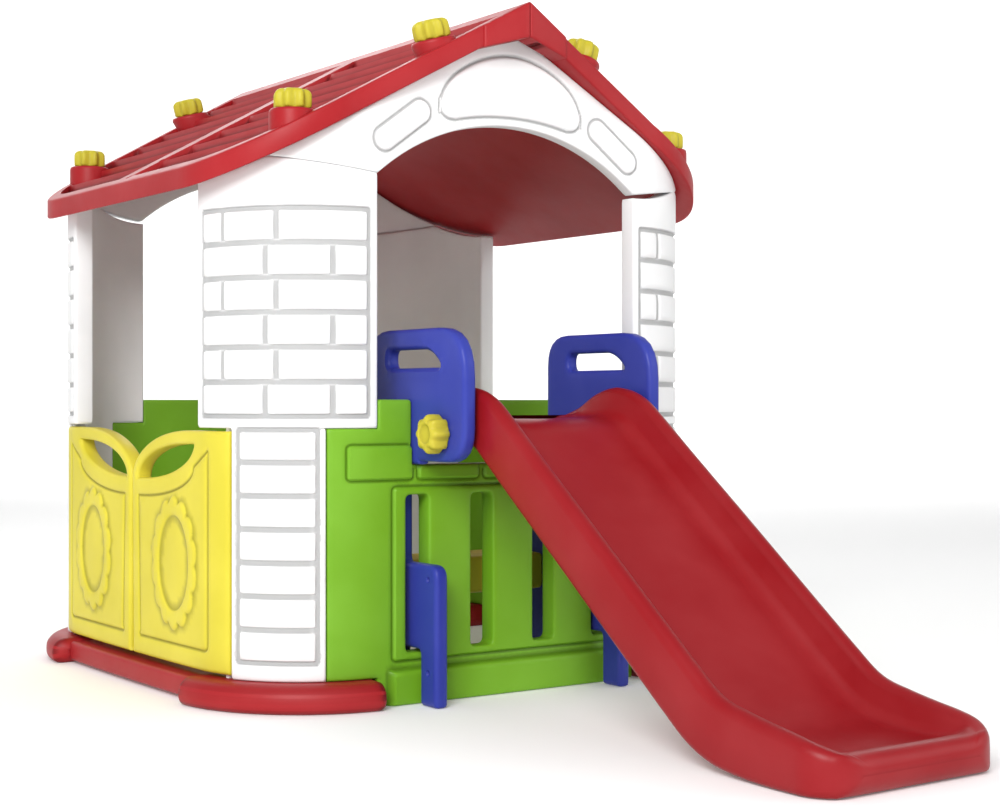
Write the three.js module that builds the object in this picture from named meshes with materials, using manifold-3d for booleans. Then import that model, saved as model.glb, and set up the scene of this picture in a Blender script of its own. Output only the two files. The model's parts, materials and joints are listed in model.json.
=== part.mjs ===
// Plastic playhouse with two swing doors and a slide. Millimetres, +Z up, front towards -Y.
import * as THREE from "three";
import { mergeVertices } from "three/addons/utils/BufferGeometryUtils.js";
import Module from "manifold-3d";

const wasm = await Module();
wasm.setup();

// ---------------------------------------------------------------- driving dimensions
const HALF = 543;            // house centre to the outside of a wall
const CORNER_R = 244;        // outside radius of the rounded corners
const GAP = 0.35;            // play between pieces that touch
const BUMPER_TOP = 52;
const BUMPER_OUT = 48;       // how far a bumper stands outside the pillar
const BUMPER_IN = 85;
const PILLAR_T = 40;
const PILLAR_STEP = 508;     // where the narrow foot of a pillar widens
const PILLAR_TOP = 972;
const FOOT_HALF_ANGLE = 21.5;
const ROOF_APEX = 1312;
const ROOF_SLOPE = 0.559;    // rise over run
const ROOF_T = 41;           // vertical thickness
const EAVE_OUT = 42;
const VERGE_OUT = 55;
const ROOF_CORNER_R = 240;
const FIELD_DEPTH = 14;      // tile fields sink this far below the roof's frame
const ROOF_MARGIN = 34;      // width of that frame at the eave and the verge
const RIDGE_HALF = 90;
const PROW = 0.14;           // the verges draw back this much per mm from the apex
const RIDGE_END_DROP = 68;   // the thicker block at each end of the ridge
const RIDGE_END_L = 40;
const RIB_HALF = 38;
const ARCH_CROWN = 1082;
const GABLE_T = 30;
const PANEL_T = 36;
const PANEL_TOP = 560;
const NOTCH_FLOOR = 440;     // the slide and its side frames hook over the fence here
const SLOT_PITCH = 144;
const SLOT_W = 50;
const SLOT_Z = [95, 385];
const RAIL_TOP = 64;
const RAIL_OUT = 14;
const DOOR_T = 34;
const DOOR_BULGE = 4;        // the door side bows out this far at its middle
const DOOR_Z = [58.5, 502];
const SCOOP_LOW = 406;       // lowest point of the scooped door top
const HANDLE_W = 26;
const PIN_R = 6;
const PIN_CLEAR = 0.06;
const PIN_REACH = 24;
const PIN_SIDES = 48;        // enough for the pins to turn freely in their holes
const HINGE_ANGLE = 18.5;    // hinge axis, round the corner from the side wall
const FRAME_X = 212;         // slide side frames, to the middle of the plate
const FRAME_T = 27;
const SLIDE_HALF = 190;
const SLIDE_RIM_W = 34;
const SLIDE_RIM_H = 58;      // rim above the bed
const SLIDE_BED_T = 42;
const KNOB_R = 37;
const KNOB_H = 36;
const KNOB_LOBES = 8;
const STEM_R = 9;
const LOW_KNOB = { x: 440, y: 478, tilt: 0 };
const HIGH_KNOB = { x: 172, y: 528, tilt: 15 };
const KNOB_RISE = 16;        // knob seat above the roof's frame
const BOSS_R = 42;
const PLATE_KNOB = { y: -637, z: 498 };

const C = HALF - CORNER_R;   // corner centres are at (+-C, +-C)
const rad = THREE.MathUtils.degToRad;

// ---------------------------------------------------------------- materials
const plastic = (name, color, roughness) =>
  new THREE.MeshStandardMaterial({ name, color, roughness, metalness: 0 });
const WHITE = plastic("white_plastic", 0xf4f4f2, 0.45);
const RED = plastic("red_plastic", 0xbe3237, 0.38);
const GREEN = plastic("green_plastic", 0x7ab02e, 0.42);
const YELLOW = plastic("yellow_plastic", 0xf0e14b, 0.4);
const BLUE = plastic("blue_plastic", 0x404aa2, 0.4);

// ---------------------------------------------------------------- solid modelling helpers
// Closed triangle geometry <-> exact solid, so that pieces can be joined and cut.
function toSolid(geometry) {
  const g = geometry.clone();
  for (const name of Object.keys(g.attributes)) if (name !== "position") g.deleteAttribute(name);
  const merged = mergeVertices(g, 1e-4);
  return new wasm.Manifold(new wasm.Mesh({
    numProp: 3,
    vertProperties: new Float32Array(merged.attributes.position.array),
    triVerts: new Uint32Array(merged.index.array),
  }));
}
function toGeometry(solid) {
  const mesh = solid.getMesh();
  const g = new THREE.BufferGeometry();
  g.setAttribute("position", new THREE.BufferAttribute(new Float32Array(mesh.vertProperties), 3));
  g.setIndex(new THREE.BufferAttribute(new Uint32Array(mesh.triVerts), 1));
  const flat = g.toNonIndexed();
  flat.computeVertexNormals();
  return flat;
}
const join = (...geometries) =>
  toGeometry(geometries.map(toSolid).reduce((a, b) => a.add(b)));
const cut = (geometry, ...tools) =>
  toGeometry(tools.map(toSolid).reduce((a, b) => a.subtract(b), toSolid(geometry)));
const keep = (geometry, tool) => toGeometry(toSolid(geometry).intersect(toSolid(tool)));

// Prisms: a plan outline raised in Z, an XZ outline along Y and a YZ outline along X.
const shapeOf = (points) => new THREE.Shape(points.map(([a, b]) => new THREE.Vector2(a, b)));
function plan(points, z0, z1) {
  const g = new THREE.ExtrudeGeometry(shapeOf(points), { depth: z1 - z0, bevelEnabled: false });
  return g.translate(0, 0, z0);
}
const prismY = (points, y0, y1) => plan(points, -y1, -y0).rotateX(Math.PI / 2);
const prismX = (points, x0, x1) =>
  plan(points, x0, x1).applyMatrix4(new THREE.Matrix4().set(0, 0, 1, 0, 1, 0, 0, 0, 0, 1, 0, 0, 0, 0, 0, 1));
const box = (x0, x1, y0, y1, z0, z1) => plan([[x0, y0], [x1, y0], [x1, y1], [x0, y1]], z0, z1);
const rod = (radius, z0, z1, sides = 20) =>
  new THREE.CylinderGeometry(radius, radius, z1 - z0, sides).rotateX(Math.PI / 2)
    .translate(0, 0, (z0 + z1) / 2);

// Points of an arc, from angle a0 to a1 in degrees.
function arc(cx, cy, r, a0, a1, steps) {
  return Array.from({ length: steps + 1 }, (_, i) => {
    const a = rad(a0 + ((a1 - a0) * i) / steps);
    return [cx + r * Math.cos(a), cy + r * Math.sin(a)];
  });
}
// An outline with its corners rounded; each entry is [a, b, radius].
function rounded(corners, steps = 5) {
  const out = [];
  corners.forEach(([x, y, r], i) => {
    const [px, py] = corners[(i + corners.length - 1) % corners.length];
    const [nx, ny] = corners[(i + 1) % corners.length];
    if (!r) return out.push([x, y]);
    const at = new THREE.Vector2(x, y);
    const a = new THREE.Vector2(px - x, py - y).setLength(r).add(at);
    const b = new THREE.Vector2(nx - x, ny - y).setLength(r).add(at);
    const curve = new THREE.QuadraticBezierCurve(a, at, b);
    curve.getPoints(steps).forEach((p) => out.push([p.x, p.y]));
  });
  return out;
}
const mirrorPoints = (points) => points.map(([a, b]) => [-a, b]).reverse();
const flipX = (geometry) => mirrored(geometry, -1, 1);
const flipY = (geometry) => mirrored(geometry, 1, -1);
function mirrored(geometry, sx, sy) {   // mirror, keeping the faces outwards
  return toGeometry(toSolid(geometry).mirror(sx < 0 ? [1, 0, 0] : [0, 1, 0]));
}

// ---------------------------------------------------------------- node list
const playhouse = new THREE.Group();
playhouse.name = "playhouse";
function add(name, geometry, material) {
  const mesh = new THREE.Mesh(geometry, material);
  mesh.name = name;
  playhouse.add(mesh);
  return mesh;
}

// A band of wall round the front-left corner, between two insets from the outside.
// Angles run from the side wall (0) to the front wall (90).
function cornerBand(outer, inner, a0, a1, z0, z1, steps) {
  const rim = arc(-C, -C, CORNER_R - outer, 180 + a0, 180 + a1, steps);
  const back = arc(-C, -C, CORNER_R - inner, 180 + a1, 180 + a0, steps);
  return plan([...rim, ...back], z0, z1);
}
const CORNERS = [["front_left", 1, 1], ["front_right", -1, 1], ["back_left", 1, -1], ["back_right", -1, -1]];
function atCorner(geometry, sx, sy) {
  const g = sx < 0 ? flipX(geometry) : geometry;
  return sy < 0 ? flipY(g) : g;
}

// Everything under the roof's lower surface.
const roofUnder = (x) => ROOF_APEX - ROOF_T - ROOF_SLOPE * Math.abs(x);
const FAR = 800;
const underRoof = prismY(
  [[-FAR, 0], [FAR, 0], [FAR, roofUnder(FAR) - GAP], [0, roofUnder(0) - GAP], [-FAR, roofUnder(FAR) - GAP]],
  -FAR, FAR);

// Door hinge axis, given for the front-left corner.
const HINGE_R = CORNER_R - 2 - DOOR_T / 2;
const hinge = [-C - HINGE_R * Math.cos(rad(HINGE_ANGLE)), -C - HINGE_R * Math.sin(rad(HINGE_ANGLE))];
const pinHole = (z0, z1) => rod(PIN_R + PIN_CLEAR, z0, z1, PIN_SIDES).translate(hinge[0], hinge[1], 0);

// ---------------------------------------------------------------- base: corner bumpers and door sill
const bumperSection = rounded([
  [CORNER_R - BUMPER_IN, 0, 6], [CORNER_R + BUMPER_OUT - 6, 0, 10], [CORNER_R + BUMPER_OUT, BUMPER_TOP / 2, 10],
  [CORNER_R + BUMPER_OUT - 14, BUMPER_TOP, 14], [CORNER_R - BUMPER_IN, BUMPER_TOP, 6]], 3);
function bumper(withPin) {
  const ring = new THREE.LatheGeometry(
    [...bumperSection, bumperSection[0]].map(([r, z]) => new THREE.Vector2(r, z)), 48)
    .rotateX(Math.PI / 2);
  const wedge = plan([[0, 0], ...arc(0, 0, 2 * CORNER_R, 180, 270, 6)], -1, BUMPER_TOP + 1);
  const quarter = keep(ring, wedge).translate(-C, -C, 0);
  return withPin ? cut(quarter, pinHole(BUMPER_TOP - PIN_REACH, BUMPER_TOP + 1)) : quarter;
}
for (const [name, sx, sy] of CORNERS) {
  add(`corner_bumper_${name}`, atCorner(bumper(sx > 0), sx, sy), RED);
}
// Plan outline of the bowed door side, as if it faced the front: y against x.
const bow = (x) => DOOR_BULGE * (1 - (x / C) ** 2);
const bowed = (inset, x0, x1, steps) => Array.from({ length: steps + 1 }, (_, i) => {
  const x = x0 + ((x1 - x0) * i) / steps;
  return [x, -(HALF - inset) - bow(x)];
});
const toDoorSide = (geometry) => geometry.rotateZ(-Math.PI / 2);
const SILL_END = C - GAP;
add("door_sill", toDoorSide(plan(
  [...bowed(-14, -SILL_END, SILL_END, 12), ...bowed(70, SILL_END, -SILL_END, 12)], 6, 46)), RED);

// ---------------------------------------------------------------- corner pillars
function pillar(withPin) {
  const wide = cornerBand(0, PILLAR_T, 0, 90, PILLAR_STEP, PILLAR_TOP, 16);
  const foot = cornerBand(0, PILLAR_T, 45 - FOOT_HALF_ANGLE, 45 + FOOT_HALF_ANGLE,
    BUMPER_TOP + GAP, PILLAR_STEP + 5, 8);
  const body = keep(join(wide, foot), underRoof);
  return withPin ? cut(body, pinHole(PILLAR_STEP - 1, PILLAR_STEP + PIN_REACH)) : body;
}
for (const [name, sx, sy] of CORNERS) add(`pillar_${name}`, atCorner(pillar(sx > 0), sx, sy), WHITE);

// ---------------------------------------------------------------- gable boards over the front and back
const ARCH_RISE = ARCH_CROWN - PILLAR_TOP;
const ARCH_R = (C * C + ARCH_RISE * ARCH_RISE) / (2 * ARCH_RISE);
const archHalf = THREE.MathUtils.radToDeg(Math.asin(C / ARCH_R));
function gable() {
  const outer = arc(-C, -C, CORNER_R, 205, 270, 12);
  const inner = arc(-C, -C, CORNER_R - GABLE_T, 270, 205, 12);
  const outline = [...outer, ...mirrorPoints(outer), ...mirrorPoints(inner), ...inner];
  const board = keep(plan(outline, PILLAR_TOP + GAP, ROOF_APEX), underRoof);
  const arch = prismY([[-C, 900], [C, 900],
    ...arc(0, ARCH_CROWN - ARCH_R, ARCH_R, 90 - archHalf, 90 + archHalf, 20)], -HALF - 60, -HALF + 60);
  return cut(board, arch);
}
add("gable_front", gable(), WHITE);
add("gable_back", flipY(gable()), WHITE);

// ---------------------------------------------------------------- low wall panels
const PANEL_INSET = 2;
const panelEdge = 45 + FOOT_HALF_ANGLE + 0.12;      // just clear of the pillar's foot
function panelBlank() {
  const outer = arc(-C, -C, CORNER_R - PANEL_INSET, 180 + panelEdge, 270, 5);
  const inner = arc(-C, -C, CORNER_R - PANEL_INSET - PANEL_T, 270, 180 + panelEdge, 5);
  const outline = [...outer, ...mirrorPoints(outer), ...mirrorPoints(inner), ...inner];
  const wings = plan(outline, BUMPER_TOP + GAP, PILLAR_STEP - GAP);
  const x = C - GAP, yOut = -HALF + PANEL_INSET, yIn = yOut + PANEL_T;
  const middle = box(-x, x, yOut, yIn, 0, PANEL_TOP);
  const railX = C - 30;
  const rail = box(-railX, railX, yOut - RAIL_OUT, yIn - 4, 0, RAIL_TOP);
  return join(wings, middle, rail);
}
const acrossPanel = (points) => prismY(points, -HALF - 60, -HALF + 120);
function slot(x) {
  const [z0, z1] = SLOT_Z, w = SLOT_W / 2;
  return acrossPanel(rounded([[x - w, z0, 10], [x + w, z0, 10], [x + w, z1, 10], [x - w, z1, 10]], 3));
}
const NOTCH_X = FRAME_X + FRAME_T / 2 + GAP;
const slots = [-1.5, -0.5, 0.5, 1.5].map((k) => slot(k * SLOT_PITCH));
const notch = acrossPanel(rounded([[-NOTCH_X, NOTCH_FLOOR], [NOTCH_X, NOTCH_FLOOR],
  [NOTCH_X, 700], [-NOTCH_X, 700]]));
add("front_fence", cut(panelBlank(), notch, ...slots), GREEN);
add("back_panel", panelBlank().rotateZ(Math.PI), GREEN);
add("right_panel", panelBlank().rotateZ(Math.PI / 2), GREEN);

// ---------------------------------------------------------------- roof halves
const roofTop = (x) => ROOF_APEX - ROOF_SLOPE * Math.abs(x);
const knobSeat = (k) => roofTop(k.x) + KNOB_RISE;
function roofHalf() {                                // the left half, x < 0
  const X = HALF + EAVE_OUT, Y = HALF + VERGE_OUT, r = ROOF_CORNER_R;
  const cy = Y - PROW * (X - r) - r;                 // corner centres, behind the drawn-back verges
  const outline = [[-GAP / 2, -Y], [-GAP / 2, Y],
    ...arc(-X + r, cy, r, 90, 180, 12), ...arc(-X + r, -cy, r, 180, 270, 12)];
  const slab = prismY([[0, ROOF_APEX], [0, ROOF_APEX - ROOF_T], [-FAR, roofTop(FAR) - ROOF_T],
    [-FAR, roofTop(FAR)]], -FAR, FAR);
  const half = keep(plan(outline, 600, ROOF_APEX + 1), slab);
  const aboveField = prismY([[10, ROOF_APEX + 300], [10, ROOF_APEX - FIELD_DEPTH],
    [-FAR, roofTop(FAR) - FIELD_DEPTH], [-FAR, ROOF_APEX + 300]], -FAR, FAR);
  const m = ROOF_MARGIN;
  const field = plan([[-RIDGE_HALF, -Y + m + PROW * RIDGE_HALF], [-RIDGE_HALF, -RIB_HALF],
    [-X + m, -RIB_HALF], ...arc(-X + r, -cy, r - m, 180, 270, 12)], 600, ROOF_APEX + 1);
  const ridgeEnd = prismY([[-GAP / 2, ROOF_APEX - ROOF_T / 2], [-GAP / 2, ROOF_APEX - RIDGE_END_DROP],
    [-RIDGE_HALF, roofUnder(RIDGE_HALF)], [-RIDGE_HALF, roofUnder(RIDGE_HALF) + ROOF_T / 2]],
  -Y + PROW * RIDGE_HALF, -Y + PROW * RIDGE_HALF + RIDGE_END_L);
  const bosses = [], holes = [];
  for (const k of [LOW_KNOB, HIGH_KNOB]) {
    for (const side of [-1, 1]) {
      bosses.push(placeKnob(rod(BOSS_R, -70, -GAP, 24), k, side));
      holes.push(placeKnob(rod(STEM_R + 0.4, -32, 20, 16), k, side));
    }
  }
  const framed = join(cut(half, keep(field, aboveField), keep(flipY(field), aboveField)),
    ridgeEnd, flipY(ridgeEnd));
  return cut(join(framed, ...bosses.map((b) => keep(b, aboveMiddle))), ...holes);
}
// Only the part of a boss above the middle of the slab is kept, so none hangs below the roof.
const aboveMiddle = prismY([[10, ROOF_APEX + 300], [10, ROOF_APEX - ROOF_T / 2],
  [-FAR, roofTop(FAR) - ROOF_T / 2], [-FAR, ROOF_APEX + 300]], -FAR, FAR);
function placeKnob(geometry, knob, side) {           // knob origin: where the cap meets its seat
  return geometry.rotateY(rad(-knob.tilt)).translate(-knob.x, side * knob.y, knobSeat(knob));
}
const leftRoof = roofHalf();
add("roof_left", leftRoof, RED);
add("roof_right", flipX(leftRoof), RED);

// ---------------------------------------------------------------- screw knobs
function knob(stemLength) {                          // cap up from z = 0, stem down
  const outline = Array.from({ length: KNOB_LOBES * 6 }, (_, i) => {
    const a = (2 * Math.PI * i) / (KNOB_LOBES * 6);
    const r = KNOB_R - 3.5 + 3.5 * Math.cos(KNOB_LOBES * a);
    return [r * Math.cos(a), r * Math.sin(a)];
  });
  return join(plan(outline, 0, KNOB_H - 6),
    new THREE.CylinderGeometry(KNOB_R - 13, KNOB_R - 6, 8, 24).rotateX(Math.PI / 2).translate(0, 0, KNOB_H - 4),
    rod(STEM_R, -stemLength, 2, 16));
}
for (const [end, side] of [["front", -1], ["back", 1]]) {
  for (const [row, k] of [["low", LOW_KNOB], ["high", HIGH_KNOB]]) {
    add(`roof_knob_left_${end}_${row}`, placeKnob(knob(30), k, side), YELLOW);
    add(`roof_knob_right_${end}_${row}`, flipX(placeKnob(knob(30), k, side)), YELLOW);
  }
}

// ---------------------------------------------------------------- swing doors
function doorLeaf() {              // as if on the front wall, x from the meeting edge to the hinge
  const [hy, hx] = hinge.map(Math.abs);
  const end = 270 + HINGE_ANGLE;   // direction of the hinge seen from the corner centre
  const outer = [...bowed(PANEL_INSET, 2, C, 7), ...arc(C, -C, CORNER_R - 2, 274, end, 3)];
  const knuckle = arc(hx, -hy, DOOR_T / 2, end - 360, end - 180, 8);
  const inner = [...arc(C, -C, CORNER_R - 2 - DOOR_T, end, 274, 3), ...bowed(PANEL_INSET + DOOR_T, C, 2, 7)];
  const blank = plan([...outer, ...knuckle, ...inner], DOOR_Z[0], DOOR_Z[1]);
  const [, top] = DOOR_Z;
  const reach = C - 12;            // the scoop runs from the meeting edge out to here
  const scoopDepth = top - SCOOP_LOW;
  // handle: outer edge bulges up, inner edge is concentric; the scoop below it sags
  const outerArch = quarter(reach - 40, scoopDepth, 0, true);
  const above = acrossPanel([...outerArch, [reach - 40, top + 30], [-10, top + 30]]);
  const innerArch = quarter(reach - 40 - HANDLE_W, scoopDepth - HANDLE_W, HANDLE_W, true);
  const sag = quarter(reach - 34, scoopDepth - 20, HANDLE_W, false).reverse();
  const loop = acrossPanel([...innerArch, ...sag]);
  return cut(blank, above, loop, ...[DOOR_Z[0] - 1, top - PIN_REACH].map((z) =>
    rod(PIN_R + PIN_CLEAR, z, z + PIN_REACH + 1, PIN_SIDES).translate(hx, -hy, 0)));

  // Quarter arc from low at the meeting edge to high at the hinge side.
  function quarter(width, height, x0, bulging) {
    return Array.from({ length: 13 }, (_, i) => {
      const a = (Math.PI / 2) * (i / 12);
      return bulging
        ? [x0 + width * (1 - Math.cos(a)), SCOOP_LOW + height * Math.sin(a)]
        : [x0 + width * Math.sin(a), SCOOP_LOW + height * (1 - Math.cos(a))];
    });
  }
}
const leaf = doorLeaf();
add("door_front", toDoorSide(leaf.clone()), YELLOW);          // the leaf nearer the slide
add("door_back", toDoorSide(flipX(leaf)), YELLOW);
for (const [end, side] of [["front", 1], ["back", -1]]) {
  const at = (geometry) => geometry.translate(hinge[0], side * hinge[1], 0);
  add(`door_pin_${end}_bottom`,
    at(rod(PIN_R, BUMPER_TOP - PIN_REACH + GAP, DOOR_Z[0] + PIN_REACH - 1 - GAP, PIN_SIDES)), WHITE);
  add(`door_pin_${end}_top`,
    at(rod(PIN_R, DOOR_Z[1] - PIN_REACH + GAP, PILLAR_STEP + PIN_REACH - GAP, PIN_SIDES)), WHITE);
}

// ---------------------------------------------------------------- slide
// Underside of the bed: a landing over the fence, the chute, the run-out and the turned-up lip.
const slidePath = [
  [-492, 480, 0], [-560, 482, 0], [-640, 484, 0.12], [-680, 476, 0.45], [-720, 447, 0.72],
  [-960, 262, 0.765], [-1200, 78, 0.765], [-1262, 34, 0.6], [-1310, 15, 0.3], [-1370, 5, 0.1],
  [-1480, 0, 0.02], [-1530, 5, -0.3], [-1562, 22, -0.8]];
const RIM_SCALE = [0.2, 0.45, 0.9, 1, 1, 1, 1, 1, 1, 0.95, 0.85, 0.75, 0.6];
const WIDTH_SCALE = [1, 1, 1, 1, 1, 1, 1, 1, 1, 1, 1, 0.96, 0.74];   // the lip's corners are round
function slide() {
  const w = SLIDE_HALF, rim = SLIDE_RIM_W, bed = SLIDE_BED_T;
  const section = (k) => {         // [across, up from the underside], right half then mirrored
    const top = bed + SLIDE_RIM_H * k;
    const half = [[w - rim * 1.6, 0], [w - 8, 8], [w, 22], [w, top - 12], [w - 9, top - 2],
      [w - rim * 0.5, top], [w - rim, top - 8], [w - rim - 12, bed + 8], [w - rim - 30, bed]];
    return [...half, ...half.map(([x, z]) => [-x, z]).reverse()];
  };
  const positions = [], index = [];
  const n = section(1).length;
  slidePath.forEach(([y, z, tilt], i) => {
    const ny = -Math.sin(Math.atan(tilt)), nz = Math.cos(Math.atan(tilt));
    for (const [x, up] of section(RIM_SCALE[i])) {
      positions.push(x * WIDTH_SCALE[i], y + ny * up, z + nz * up);
    }
  });
  for (let i = 0; i + 1 < slidePath.length; i++) {
    for (let j = 0; j < n; j++) {
      const a = i * n + j, b = i * n + ((j + 1) % n);
      index.push(a, b, a + n, b, b + n, a + n);
    }
  }
  const caps = THREE.ShapeUtils.triangulateShape(section(1).map(([x, z]) => new THREE.Vector2(x, z)), []);
  const last = (slidePath.length - 1) * n;
  for (const [a, b, c] of caps) {
    index.push(a, c, b);
    index.push(last + a, last + b, last + c);
  }
  const g = new THREE.BufferGeometry();
  g.setAttribute("position", new THREE.Float32BufferAttribute(positions, 3));
  g.setIndex(index);
  return g;
}
const slideBlank = slide();
const PLATE_OUT = FRAME_X + FRAME_T / 2;
const acrossFrame = (geometry) =>   // a rod along X at the slide knob
  geometry.rotateY(Math.PI / 2).translate(0, PLATE_KNOB.y, PLATE_KNOB.z);
const slideHole = (s) => acrossFrame(rod(STEM_R + 0.4, s > 0 ? 150 : -300, s > 0 ? 300 : -150, 16));
add("slide", cut(slideBlank, slideHole(-1), slideHole(1)), RED);

// ---------------------------------------------------------------- slide side frames, steps and their knobs
const frameOutline = rounded([            // [y, z, corner size]
  [-384, 690, 60], [-713, 690, 90], [-713, 447, 60], [-560, 447, 20],
  [-560, NOTCH_FLOOR + GAP], [-503, NOTCH_FLOOR + GAP], [-503, 259, 12], [-622, 259, 24], [-622, 0, 8], [-566, 0, 8],
  [-566, 102, 12], [-497, 102, 12], [-497, 0, 8], [-236, 0, 8], [-236, 262, 30], [-384, 420, 30]], 6);
const frameSlot = rounded([[-455, 618, 16], [-455, 652, 16], [-600, 652, 30], [-640, 618, 16]], 4);
function sideFrame(x) {
  const plate = prismX(frameOutline, x - FRAME_T / 2, x + FRAME_T / 2);
  return cut(plate, prismX(frameSlot, x - 40, x + 40),
    acrossFrame(rod(STEM_R + 0.4, x - 40, x + 40, 16)));
}
add("side_frame_left", sideFrame(-FRAME_X), BLUE);
add("side_frame_right", sideFrame(FRAME_X), BLUE);

const STEP_HALF = FRAME_X - FRAME_T / 2 - GAP;
const stepBody = (y0, y1, z0, z1) => prismX(
  rounded([[y0, z0, 6], [y1, z0, 6], [y1, z1, 14], [y0, z1, 10]], 3), -STEP_HALF, STEP_HALF);
add("step_lower", stepBody(-372, -240, 172, 246), YELLOW);
add("step_upper", stepBody(-494, -396, 392, 432), YELLOW);

const plateKnob = knob(FRAME_T + 24).rotateY(-Math.PI / 2)
  .translate(-PLATE_OUT - GAP, PLATE_KNOB.y, PLATE_KNOB.z);
add("slide_knob_left", plateKnob, YELLOW);
add("slide_knob_right", flipX(plateKnob), YELLOW);

// ---------------------------------------------------------------- shared frame
// Origin under the middle of the overall box, on the ground.
const bounds = new THREE.Box3().setFromObject(playhouse);
const shift = -(bounds.min.y + bounds.max.y) / 2;
for (const mesh of playhouse.children) mesh.geometry.translate(0, shift, -bounds.min.z);

export default playhouse;
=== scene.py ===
"""The looks of a plastic playhouse: moulded walls, roof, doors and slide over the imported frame."""
import json
import math
import bpy
import numpy as np
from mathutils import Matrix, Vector
from mathutils.geometry import delaunay_2d_cdt


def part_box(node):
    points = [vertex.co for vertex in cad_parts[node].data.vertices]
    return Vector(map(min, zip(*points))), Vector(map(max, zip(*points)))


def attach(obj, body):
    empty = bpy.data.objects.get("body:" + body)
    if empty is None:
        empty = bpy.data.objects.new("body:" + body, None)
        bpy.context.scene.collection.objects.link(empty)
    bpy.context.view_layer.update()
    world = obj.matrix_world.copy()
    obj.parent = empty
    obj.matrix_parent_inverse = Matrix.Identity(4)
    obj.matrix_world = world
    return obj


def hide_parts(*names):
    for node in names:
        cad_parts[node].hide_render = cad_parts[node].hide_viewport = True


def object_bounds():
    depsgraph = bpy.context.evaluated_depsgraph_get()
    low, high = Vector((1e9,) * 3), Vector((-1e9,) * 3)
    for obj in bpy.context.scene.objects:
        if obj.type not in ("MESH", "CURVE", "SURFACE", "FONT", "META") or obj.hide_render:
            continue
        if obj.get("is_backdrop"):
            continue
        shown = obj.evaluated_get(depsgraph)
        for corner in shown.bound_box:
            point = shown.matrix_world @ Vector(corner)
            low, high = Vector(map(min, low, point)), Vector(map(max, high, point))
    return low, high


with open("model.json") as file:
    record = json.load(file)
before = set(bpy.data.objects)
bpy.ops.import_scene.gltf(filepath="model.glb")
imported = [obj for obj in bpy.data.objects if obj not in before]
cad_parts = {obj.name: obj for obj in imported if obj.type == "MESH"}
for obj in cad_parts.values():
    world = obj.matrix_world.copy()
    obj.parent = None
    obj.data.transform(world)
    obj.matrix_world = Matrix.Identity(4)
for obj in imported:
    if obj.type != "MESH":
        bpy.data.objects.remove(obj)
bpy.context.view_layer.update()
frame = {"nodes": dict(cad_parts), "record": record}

# ------------------------------------------------------------------ sizes, in millimetres
MM = 0.001


def node_box(node):
    """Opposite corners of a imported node's box, in millimetres."""
    low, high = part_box(node)
    return low / MM, high / MM


pillar_low, pillar_high = node_box("pillar_front_left")
leaf_low, leaf_high = node_box("door_front")
roof_low, roof_high = node_box("roof_left")
frame_low, frame_high = node_box("side_frame_left")
bumper_low, bumper_high = node_box("corner_bumper_front_left")
fence_high = node_box("front_fence")[1]
slide_high = node_box("slide")[1]

HOUSE_Y = (pillar_low.y + node_box("pillar_back_left")[1].y) / 2   # middle of the house
HALF = -pillar_low.x                      # middle to the outside of a wall
CORNER_R = pillar_high.x - pillar_low.x
C = HALF - CORNER_R                       # corner centres are at (+-C, +-C)
ARC = CORNER_R * math.pi / 2              # length of wall round a corner
PILLAR_T, PILLAR_STEP = 40, 508
PILLAR_FOOT, PILLAR_TOP = pillar_low.z, pillar_high.z
FOOT_HALF = math.radians(21.5) * CORNER_R   # half the width of a pillar's narrow foot, round the corner
ROOF_APEX = roof_high.z
ROOF_X, ROOF_Y = -roof_low.x, HOUSE_Y - roof_low.y
ROOF_T = 41                               # measured straight down
ROOF_SLOPE = (ROOF_APEX - roof_low.z - ROOF_T) / ROOF_X
ROOF_CORNER = 240
PROW = 0.14                               # the verges draw back this much from the apex outwards
PANEL_T, PANEL_TOP = 36, fence_high.z
DOOR_T = 34
GAP = 0.6                                 # play between pieces that meet
CORNERS = ("front_left", "front_right", "back_right", "back_left")     # each a quarter turn on


# ------------------------------------------------------------------ outlines and distances
def arc(cx, cy, r, a0, a1, steps):
    """Points of an arc, angles in degrees."""
    a = np.radians(np.linspace(a0, a1, steps + 1))
    return np.stack([cx + r * np.cos(a), cy + r * np.sin(a)], 1)


def rounded(corners, steps=7):
    """An outline with rounded corners; each entry is (a, b) or (a, b, size of the rounding)."""
    out = []
    for i, corner in enumerate(corners):
        here = np.array(corner[:2], float)
        if len(corner) < 3:
            out.append(here[None])
            continue
        before = np.array(corners[i - 1][:2], float) - here
        after = np.array(corners[(i + 1) % len(corners)][:2], float) - here
        a = here + before / np.linalg.norm(before) * corner[2]
        b = here + after / np.linalg.norm(after) * corner[2]
        t = np.linspace(0, 1, steps)[:, None]
        out.append((1 - t) ** 2 * a + 2 * t * (1 - t) * here + t ** 2 * b)
    return np.concatenate(out)


def capsule(a, b, r, steps=14):
    """A stadium outline round the line from a to b."""
    a, b = np.array(a, float), np.array(b, float)
    turn = math.degrees(math.atan2(b[1] - a[1], b[0] - a[0]))
    ends = ((b, turn - 90), (a, turn + 90))
    return np.concatenate([arc(*middle, r, start, start + 180, steps) for middle, start in ends])


def resample(loop, step):
    """The same closed loop with points no further apart than step."""
    out = []
    for p, q in zip(loop, np.roll(loop, -1, 0)):
        n = max(1, math.ceil(np.linalg.norm(q - p) / step))
        out.append(p + (q - p) * (np.arange(n) / n)[:, None])
    return np.concatenate(out)


def area(loop):
    """Area of a loop, positive when it runs anticlockwise."""
    x, y = loop[:, 0], loop[:, 1]
    return 0.5 * np.sum(x * np.roll(y, -1) - y * np.roll(x, -1))


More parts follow.
